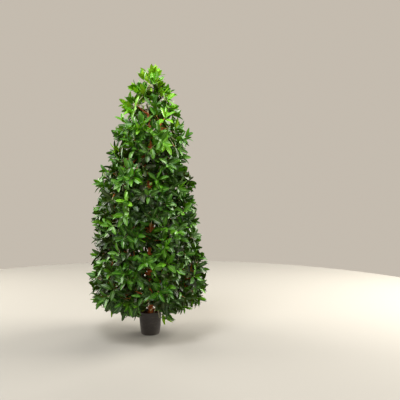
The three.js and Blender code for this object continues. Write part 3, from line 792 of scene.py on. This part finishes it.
def tube_template(sides, rings, young_from=2.0):
    """A closed tube: a grid rolled up, x the turn, z from 0 to 1. Faces past young_from have role 1."""
    bm = bmesh.new()
    bmesh.ops.create_grid(bm, x_segments=sides, y_segments=rings, size=1)
    for v in bm.verts:
        turn = math.pi * (v.co.x + 1)
        v.co = Vector((math.cos(turn), math.sin(turn), (v.co.y + 1) / 2))
    bmesh.ops.remove_doubles(bm, verts=bm.verts, dist=1e-4)
    bmesh.ops.holes_fill(bm, edges=[e for e in bm.edges if e.is_boundary], sides=0)
    bmesh.ops.recalc_face_normals(bm, faces=bm.faces)
    return template_of(bm, lambda face: int(face.calc_center_median().z > young_from))


def tubes(template, path, radius):
    """A template tube's points along each of several paths. path(t) gives points and directions."""
    t = template.points[:, 2]
    at, ahead = path(t)
    chord = unit(path(np.array([1.0]))[0] - path(np.array([0.0]))[0])
    rest = np.where(np.abs(chord[..., :1]) > 0.9, UP, np.array([1.0, 0, 0]))
    side = unit(rest - np.sum(rest * ahead, axis=-1, keepdims=True) * ahead)
    beside = np.cross(side, ahead)
    x, y = template.points[:, 0], template.points[:, 1]
    around = side * x[:, None] + beside * y[:, None]
    return at + around * radius[..., None]


def in_scene(name, data):
    """An object of the scene, at the origin."""
    made = bpy.data.objects.new(name, data)
    bpy.context.scene.collection.objects.link(made)
    return made


def placed(name, mesh, smooth_angle=48):
    """The mesh as an object of the scene, shaded smooth except across its edges."""
    mesh.polygons.foreach_set("use_smooth", np.ones(len(mesh.polygons), bool))
    mesh.set_sharp_from_angle(angle=math.radians(smooth_angle))
    return in_scene(name, mesh)


def joined(name, parts, materials, blade_map=False):
    """One mesh of many copies. parts holds for each template its points in every copy and its paints,
    which give each copy's material for each role of a face."""
    corners, sizes, coats, points, blades = [], [], [], [], []
    start = 0
    for template, at, paints in parts:
        copies, each = at.shape[:2]
        offsets = start + each * np.arange(copies)
        corners.append((template.corners[None] + offsets[:, None]).ravel())
        sizes.append(np.tile(template.sizes, copies))
        coats.append(paints[:, template.roles].ravel())
        points.append(at.reshape(-1, 3))
        blades.append(np.tile(template.points[template.corners, :2], (copies, 1)))
        start += copies * each
    corners, sizes, coats = np.concatenate(corners), np.concatenate(sizes), np.concatenate(coats)
    mesh = bpy.data.meshes.new(name)
    mesh.vertices.add(start)
    mesh.vertices.foreach_set("co", np.concatenate(points).astype(np.float32).ravel())
    mesh.loops.add(len(corners))
    mesh.loops.foreach_set("vertex_index", corners.astype(np.int32))
    mesh.polygons.add(len(sizes))
    mesh.polygons.foreach_set("loop_start", (np.cumsum(sizes) - sizes).astype(np.int32))
    used = np.unique(coats)
    mesh.polygons.foreach_set("material_index", np.searchsorted(used, coats).astype(np.int32))
    for number in used:
        mesh.materials.append(materials[number])
    if blade_map:
        layer = mesh.uv_layers.new(name="blade")
        layer.data.foreach_set("uv", np.concatenate(blades).astype(np.float32).ravel())
    mesh.update(calc_edges=True)
    mesh.validate()
    return placed(name, mesh)


def mesh_of(name, bm, materials):
    """The finished mesh of a shape under construction."""
    mesh = bpy.data.meshes.new(name)
    bm.to_mesh(mesh)
    bm.free()
    for material in materials:
        mesh.materials.append(material)
    return mesh


def spun(name, profile, steps, material):
    """A profile of radius and height, spun about the Z axis to one closed body."""
    bm = bmesh.new()
    verts = [bm.verts.new((r, 0, z)) for r, z in profile]
    edges = [bm.edges.new(pair) for pair in zip(verts, verts[1:])]
    bmesh.ops.spin(
        bm, geom=verts + edges, cent=(0, 0, 0), axis=(0, 0, 1), angle=2 * math.pi, steps=steps,
        use_merge=True,
    )
    bmesh.ops.remove_doubles(bm, verts=bm.verts, dist=1e-6)
    bmesh.ops.recalc_face_normals(bm, faces=bm.faces)
    return mesh_of(name, bm, [material])


def seated(piece, slot, *nodes):
    """Hides the parts that a piece stands in for and has the piece ride on the plant. slot, what the piece
    would take its finish from, is not used.
    """
    if nodes:
        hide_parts(*nodes)
    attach(piece, "root")


def paint(code):
    """A colour as linear numbers, from its usual code."""
    channels = [int(code[i : i + 2], 16) / 255 for i in (1, 3, 5)]
    return [c / 12.92 if c <= 0.04045 else ((c + 0.055) / 1.055) ** 2.4 for c in channels] + [1.0]


class Finish:
    """A material under construction: its nodes by short calls."""

    def __init__(self, name, color, roughness, gloss=0.5):
        self.material = bpy.data.materials.new(name)
        self.material.use_nodes = True
        self.tree = self.material.node_tree
        self.shader = self.tree.nodes["Principled BSDF"]
        self.shader.inputs["Base Color"].default_value = paint(color)
        self.shader.inputs["Roughness"].default_value = roughness
        self.shader.inputs["Specular IOR Level"].default_value = gloss

    def node(self, kind, inputs=None, **settings):
        made = self.tree.nodes.new(kind)
        for key, value in settings.items():
            setattr(made, key, value)
        for key, value in (inputs or {}).items():
            if isinstance(value, bpy.types.NodeSocket):
                self.tree.links.new(value, made.inputs[key])
            else:
                made.inputs[key].default_value = value
        return made

    def place(self, scale=(1, 1, 1)):
        """Object coordinates, stretched."""
        source = self.node("ShaderNodeTexCoord").outputs["Object"]
        return self.node("ShaderNodeMapping", {"Vector": source, "Scale": scale}).outputs["Vector"]

    def speckle(self, scale, detail=3.0, stretch=(1, 1, 1)):
        """Noise from 0 to 1."""
        inputs = {"Vector": self.place(stretch), "Scale": scale, "Detail": detail}
        return self.node("ShaderNodeTexNoise", inputs).outputs["Fac"]

    def math(self, operation, a, b=0.0):
        return self.node("ShaderNodeMath", {0: a, 1: b}, operation=operation).outputs[0]

    def ranged(self, value, low, high, start=0.3, end=0.7):
        inputs = {"Value": value, "From Min": start, "From Max": end, "To Min": low, "To Max": high}
        return self.node("ShaderNodeMapRange", inputs).outputs["Result"]

    def blend(self, value, *codes):
        """Colours in turn as the value goes from 0 to 1."""
        ramp = self.node("ShaderNodeValToRGB", {"Fac": value})
        elements = ramp.color_ramp.elements
        for number in range(len(codes) - 2):
            elements.new((number + 1) / (len(codes) - 1))
        for element, code in zip(elements, codes):
            element.color = paint(code)
        return ramp.outputs["Color"]

    def set(self, socket, value):
        self.tree.links.new(value, self.shader.inputs[socket])

    def bump(self, height, distance, strength=1.0):
        inputs = {"Height": height, "Distance": distance, "Strength": strength}
        self.set("Normal", self.node("ShaderNodeBump", inputs).outputs["Normal"])


def blade_finish(name, color, roughness, gloss, relief):
    """A leaf's skin: chevrons of side veins from the midrib, a fine grain and an uneven gloss."""
    finish = Finish(name, color, roughness, gloss)
    source = finish.node("ShaderNodeUVMap", uv_map="blade").outputs["UV"]
    split = finish.node("ShaderNodeSeparateXYZ", {"Vector": source})
    out = finish.math("ABSOLUTE", split.outputs["X"])
    slant = finish.math("SUBTRACT", split.outputs["Y"], finish.math("MULTIPLY", out, 0.16))
    veins = finish.math("SINE", finish.math("MULTIPLY", slant, 62.0))
    sharp = finish.math("POWER", finish.math("ABSOLUTE", veins), 6.0)
    grain = finish.speckle(900, 2.0)
    height = finish.math("ADD", finish.math("MULTIPLY", sharp, 0.6), grain)
    finish.bump(height, relief)
    finish.set("Roughness", finish.ranged(finish.speckle(38, 2.0), roughness - 0.07, roughness + 0.1))
    return finish.material


def rib_finish(name, color):
    finish = Finish(name, color, 0.5)
    finish.bump(finish.speckle(700, 2.0), 0.0002)
    return finish.material


def leaf_materials():
    """Every leaf material, and the number of each age's and tint's three roles among them."""
    made, numbers = [], []
    for age, (tints, under, rib) in LEAF_GREENS.items():
        below = len(made)
        # the underside's paler green is partly its own and partly painted light shining through the leaf
        made.append(blade_finish(f"{age}_leaf_underside_painted_glow", under, roughness=0.6, gloss=0.12, relief=0.00015))
        made.append(rib_finish(f"{age}_leaf_midrib", rib))
        for number, tint in enumerate(tints):
            name = f"{age}_leaf_{number + 1}"
            made.append(blade_finish(name, tint, roughness=0.44, gloss=0.42, relief=0.00006))
            numbers.append((len(made) - 1, below, below + 1))
    return made, np.array(numbers)


def bark_material():
    """Smooth russet bark with long pale and dark fibres, lenticels and a dull sheen."""
    finish = Finish("russet_bark", "#b8622a", 0.62)
    fibre = finish.speckle(60, 5.0, (1, 1, 0.12))
    mottle = finish.speckle(22, 4.0)
    fibre_part, mottle_part = finish.math("MULTIPLY", fibre, 0.65), finish.math("MULTIPLY", mottle, 0.35)
    streaks = finish.ranged(finish.math("ADD", fibre_part, mottle_part), 0, 1)
    finish.set("Base Color", finish.blend(streaks, "#8c4018", "#cc6824", "#e08e44"))
    finish.set("Roughness", finish.ranged(mottle, 0.52, 0.74))
    finish.bump(finish.math("ADD", fibre, finish.speckle(340, 3.0)), 0.0009)
    return finish.material


def young_wood_material():
    finish = Finish("young_cream_wood", "#bfba88", 0.5)
    fibre = finish.speckle(150, 3.0, (1, 1, 0.3))
    finish.set("Base Color", finish.blend(finish.ranged(fibre, 0, 1), "#a8a868", "#d0c9a0"))
    finish.bump(fibre, 0.0003)
    return finish.material


def pot_material():
    """Moulded plastic, charcoal brown: a fine grain, faint scuffs and a little dust low down."""
    finish = Finish("charcoal_pot_plastic", "#2f2a27", 0.58)
    height = finish.node("ShaderNodeSeparateXYZ", {"Vector": finish.place()}).outputs["Z"]
    dust = finish.math("MULTIPLY", finish.ranged(height, 0.55, 0.0, 0.0, 0.05), finish.speckle(30, 5.0))
    scuff = finish.ranged(finish.speckle(26, 6.0, (1, 1, 3)), 0, 0.35, 0.56, 0.74)
    worn = finish.math("ADD", dust, scuff)
    finish.set("Base Color", finish.blend(worn, "#3a3431", "#504943", "#6e655d"))
    finish.set("Roughness", finish.ranged(finish.speckle(55, 4.0), 0.48, 0.68))
    finish.bump(finish.speckle(1400, 2.0), 0.00012)
    return finish.material


def chip_material(name, dark, light):
    finish = Finish(name, dark, 0.9)
    fibre = finish.speckle(210, 5.0, (1, 0.4, 1))
    finish.set("Base Color", finish.blend(finish.ranged(fibre, 0, 1), dark, light))
    finish.bump(fibre, 0.0008)
    return finish.material


def cement_material():
    finish = Finish("weighting_cement", "#6d6862", 0.92)
    mottle = finish.ranged(finish.speckle(70, 6.0), 0, 1)
    finish.set("Base Color", finish.blend(mottle, "#57524c", "#7d7871"))
    finish.bump(finish.speckle(260, 4.0), 0.001)
    return finish.material


LEAF_MATERIALS, LEAF_PAINTS = leaf_materials()
WOODS = [bark_material(), young_wood_material()]

# Which of the woods the two roles along a limb have: older wood towards its foot, younger at its tip
OLD_WOOD = np.array([[0, 0]])
RIPENING_WOOD = np.array([[0, 1]])
YOUNG_SHOOT = np.array([[1, 1]])
OLD_WOOD_RING = 2  # from this ring inwards the shoots are brown all along
YOUNG_ABOVE_Z = 1.50  # above this all wood is young


def add_leaves(leaves):
    """Each mass's leaves as one piece, with plainer blades for those inside."""
    templates = (leaf_template(LEAF_COLUMNS, LEAF_ROWS), leaf_template(HIDDEN_COLUMNS, HIDDEN_ROWS))
    for k, name in enumerate(MASS_NAMES):
        parts = []
        for hidden, template in enumerate(templates):
            own = some_of(leaves, (leaves.mass == k) & (leaves.hidden == hidden))
            paints = LEAF_PAINTS[own.age * TINTS + own.tint]
            parts.append((template, leaf_points(own, *template.points.T), paints))
        seated(joined(f"leaves_{name}", parts, LEAF_MATERIALS, True), "foliage", f"foliage_{name}")


def bows(group, template, foot_r, tip_r, swelling):
    """Tubes along every twig or shoot of a group, swollen where each leaves its limb."""
    fields = [getattr(group, n)[:, None] for n in ("foot", "handle", "tip")]
    taper = lerp(foot_r, tip_r, template.points[:, 2])
    collar = 1 + swelling * np.exp(-((template.points[:, 2] / 0.08) ** 2))
    radius = np.broadcast_to(taper * collar, (len(group.tip), len(taper)))
    return tubes(template, lambda t: bow(*fields, t[None]), radius)


def add_twigs():
    """Each mass's stem, twigs and shoots as one piece."""
    stem, twig, shoot = tube_template(9, 10), tube_template(7, 8, 0.6), tube_template(5, 5, 0.35)
    stem_radius = lerp(BOUGH_TIP_R, STEM_TIP_R, stem.points[:, 2])[None]
    for k, name in enumerate(MASS_NAMES):
        limb = LIMBS[k]
        on_trunk = limb.bare == 0
        stem_path = path_of(limb.at, 0 if on_trunk else limb.bare - STEM_OVERLAP, 1.0)
        twigs, shoots = some_of(TWIGS, TWIGS.mass == k), some_of(SHOOTS, SHOOTS.mass == k)
        twig_woods = np.where(twigs.foot[:, 2:] > YOUNG_ABOVE_Z, YOUNG_SHOOT, RIPENING_WOOD)
        shoot_woods = np.where(shoots.ring[:, None] < OLD_WOOD_RING, RIPENING_WOOD, OLD_WOOD)
        shoot_woods = np.where(shoots.foot[:, 2:] > YOUNG_ABOVE_Z, YOUNG_SHOOT, shoot_woods)
        parts = [
            (stem, tubes(stem, stem_path, stem_radius), YOUNG_SHOOT if on_trunk else OLD_WOOD),
            (twig, bows(twigs, twig, TWIG_FOOT_R, TWIG_TIP_R, 0.5), twig_woods),
            (shoot, bows(shoots, shoot, SHOOT_FOOT_R, SHOOT_TIP_R, 0.4), shoot_woods),
        ]
        seated(joined(f"twigs_{name}", parts, WOODS), "bark", f"foliage_{name}")


def bark_relief(turn, along, depth):
    """How far bark stands out at a turn round a limb and a length along it: ridges, dimples, lenticels."""
    made = []
    for a, z in zip(turn, along):
        x, y = math.cos(a), math.sin(a)
        ridge = noise.noise(Vector((2.4 * x, 2.4 * y, 16 * z)))
        grain = noise.noise(Vector((6.5 * x, 6.5 * y, 55 * z)))
        ring = noise.noise(Vector((0.8 * x, 0.8 * y, 240 * z)))
        made.append(depth * (ridge + 0.45 * grain + 0.25 * ring))
    return np.array(made)


def add_trunk():
    """The crooked trunk with its root flare, ridged bark, and a collar under every bough."""
    template = tube_template(32, 420, (YOUNG_ABOVE_Z - TRUNK_FOOT_Z) / (TRUNK_TIP_Z - TRUNK_FOOT_Z))
    z = lerp(TRUNK_FOOT_Z, TRUNK_TIP_Z, template.points[:, 2])
    turn = np.arctan2(template.points[:, 1], template.points[:, 0])
    radius = trunk_radius(z) + bark_relief(turn, z, 0.0011)
    for limb in LIMBS[:-1]:
        towards = limb.at(0.1) - limb.foot
        off = np.angle(np.exp(1j * (turn + math.atan2(towards[1], towards[0]))))
        collar = np.exp(-(((z - limb.foot[2] - 0.006) / 0.012) ** 2) - (off / 0.75) ** 2)
        radius = radius + 0.0028 * collar
    at = tubes(template, path_of(trunk_at, TRUNK_FOOT_Z, TRUNK_TIP_Z), radius[None])
    seated(joined("trunk_bark", [(template, at, RIPENING_WOOD)], WOODS), "bark", "trunk")


def add_boughs():
    """Each bough from inside the trunk to its mass, with a collar at the trunk and knuckles along it."""
    template = tube_template(14, 44)
    t = template.points[:, 2]
    turn = np.arctan2(template.points[:, 1], template.points[:, 0])
    for k, limb in enumerate(LIMBS[:-1]):
        run = t * limb.length * limb.bare
        collar = 0.5 * np.exp(-((run / 0.020) ** 2))
        knuckle = 0.16 * np.exp(-(((run % 0.047) - 0.023) ** 2) / 0.003**2)
        radius = lerp(BOUGH_FOOT_R, BOUGH_TIP_R, t) * (1 + collar + knuckle)
        radius = radius + bark_relief(turn, run + k, 0.0005)
        at = tubes(template, path_of(limb.at, 0.0, limb.bare), radius[None])
        wood = YOUNG_SHOOT if limb.foot[2] > YOUNG_ABOVE_Z else OLD_WOOD
        piece = joined(f"bough_bark_{k + 1:02d}", [(template, at, wood)], WOODS)
        seated(piece, "bark", f"bough_{k + 1:02d}")


def arc(centre, radius, start, end, steps):
    """Points of an arc, its angles in degrees from the outward side, turning upwards."""
    angles = np.radians(np.linspace(start, end, steps + 1))
    return [(centre[0] + radius * math.cos(a), centre[1] + radius * math.sin(a)) for a in angles]


def add_pot():
    """A thin moulded pot with a rounded foot, a slightly bellied wall and a rolled rim."""
    foot = arc((POT_FOOT_R - POT_FOOT_ROUND, POT_FOOT_ROUND), POT_FOOT_ROUND, -90, 0, 6)
    rim_r, rim_z = POT_WALLS[-1]
    rim = arc((rim_r - POT_LIP_INSET, POT_HEIGHT - POT_LIP), POT_LIP, -60, 180, 12)
    known_z = [POT_FOOT_ROUND] + [z for _, z in POT_WALLS]
    known_r = [POT_FOOT_R] + [r for r, _ in POT_WALLS]
    belly = np.polyfit(known_z, known_r, 3)
    wall = [(float(np.polyval(belly, z)), float(z)) for z in np.linspace(POT_WALL_FROM_Z, rim_z, 16)]
    inside = [(r - POT_WALL, z) for r, z in reversed(wall) if z < rim_z - RIM_DEPTH]
    floor = [(POT_FOOT_R - POT_WALL, POT_FLOOR), (0, POT_FLOOR)]
    mesh = spun("plant_pot", [(0, 0), *foot, *wall, *rim, *inside, *floor], 96, pot_material())
    seated(placed("plant_pot", mesh, 40), "pot", "pot")


def dressing_height(r):
    return lerp(DRESSING_TOP_Z, DRESSING_TOP_Z - DRESSING_FALL, (r / DRESSING_R) ** 2)


def add_mulch_bed(material):
    """The low mound of fine bark that the chips lie on, a little uneven."""
    radii = DRESSING_R * np.linspace(0, 1, 14)
    top = [(r, dressing_height(r) - BED_DEPTH) for r in radii]
    mesh = spun("bark_mulch_bed", [*top, (DRESSING_R, FILL_TOP_Z), (0, FILL_TOP_Z)], 72, material)
    for v in mesh.vertices:
        if v.co.z > FILL_TOP_Z + 0.001:
            v.co.z += 0.0016 * noise.noise(v.co * 130)
    seated(placed("bark_mulch_bed", mesh), "dressing", "top_dressing")


def add_chips(tones, shares):
    """Rough chips of bark, lying every way over the mound."""
    bm = bmesh.new()
    bmesh.ops.create_icosphere(bm, subdivisions=1, radius=1)
    chip = template_of(bm, lambda face: 0)
    number = np.arange(CHIPS)
    r = (DRESSING_R - 0.003) * np.sqrt(lerp(0.06, 1.0, (number + 0.5) / CHIPS))
    turn = number * GOLDEN_TURN
    at = np.stack([r * np.cos(turn), r * np.sin(turn), dressing_height(r) - 0.0005], axis=-1)
    at[:, 2] += rng.uniform(0, CHIP_HEAP, CHIPS)
    size = np.stack([rng.uniform(*span, CHIPS) for span in CHIP_SIZES], axis=-1)
    size[:, 0] = np.minimum(size[:, 0], DRESSING_R + 0.001 - r + 0.003)
    ahead = unit(np.stack([rng.normal(0, spread, CHIPS) for spread in (1, 1, 0.16)], axis=-1))
    side = unit(np.cross(UP + 0.25 * rng.uniform(-1, 1, (CHIPS, 3)), ahead))
    frames = np.stack([ahead, side, np.cross(ahead, side)], axis=1)
    rough = 1 + 0.28 * rng.uniform(-1, 1, (CHIPS, len(chip.points), 1))
    local = chip.points[None] * rough * size[:, None]
    points = at[:, None] + np.einsum("nvk,nkd->nvd", local, frames)
    over = np.hypot(points[..., 0], points[..., 1]) / (DRESSING_R + 0.0005)
    points[..., :2] /= np.maximum(over, 1)[..., None]
    paints = rng.choice(len(tones), CHIPS, p=shares)[:, None]
    seated(joined("bark_chips", [(chip, points, paints)], tones), "dressing", "top_dressing")


def add_dressing():
    """A low mound of chipped bark, russet and dark."""
    tones = [chip_material(name, dark, light) for name, dark, light, _ in CHIP_TONES]
    add_mulch_bed(tones[0])
    add_chips(tones, [share for *_, share in CHIP_TONES])


def add_cement():
    """The weighting in the pot keeps its own shape, under the dressing."""
    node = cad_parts["pot_fill"]
    node.data.materials.clear()
    node.data.materials.append(cement_material())


def add_camera():
    data = bpy.data.cameras.new("camera")
    data.sensor_width = SENSOR
    data.lens = SENSOR * PHOTO_FOCAL_PX / PHOTO_SIDE
    camera = in_scene("camera", data)
    camera.location = CAMERA_AT
    camera.rotation_euler = (math.radians(90 + CAMERA_PITCH), 0, 0)
    bpy.context.scene.camera = camera


def add_light(name, at, aim, side, watts, color):
    data = bpy.data.lights.new(name, "AREA")
    data.shape = "SQUARE"
    data.size = side
    data.energy = watts
    data.color = color
    light = in_scene(name, data)
    light.location = at
    light.rotation_euler = (Vector(aim) - Vector(at)).to_track_quat("-Z", "Y").to_euler()


def add_floor():
    bm = bmesh.new()
    bmesh.ops.create_circle(bm, cap_ends=True, segments=96, radius=FLOOR_R)
    mesh = mesh_of("floor", bm, [Finish("pale_floor", "#8f8b84", 0.85).material])
    in_scene("floor", mesh)


def add_backdrop():
    """Pale surroundings, bright to the eye and faint as a light."""
    world = bpy.data.worlds.new("studio")
    world.use_nodes = True
    tree = world.node_tree
    background = tree.nodes["Background"]
    background.inputs["Color"].default_value = paint(BACKDROP)
    seen = tree.nodes.new("ShaderNodeLightPath").outputs["Is Camera Ray"]
    strength = tree.nodes.new("ShaderNodeMapRange")
    strength.inputs["To Min"].default_value = BACKDROP_GLOW
    strength.inputs["To Max"].default_value = BACKDROP_SEEN
    tree.links.new(seen, strength.inputs["Value"])
    tree.links.new(strength.outputs["Result"], background.inputs["Strength"])
    bpy.context.scene.world = world


def add_stage():
    """A pale floor, pale surroundings, and soft light from above, in front, both sides and behind."""
    add_floor()
    add_backdrop()
    for light in LIGHTS:
        add_light(*light)
    bpy.context.scene.view_settings.view_transform = "Standard"


add_camera()
add_stage()
add_pot()
add_cement()
add_dressing()
add_trunk()
add_boughs()
add_twigs()
add_leaves(grow_leaves())
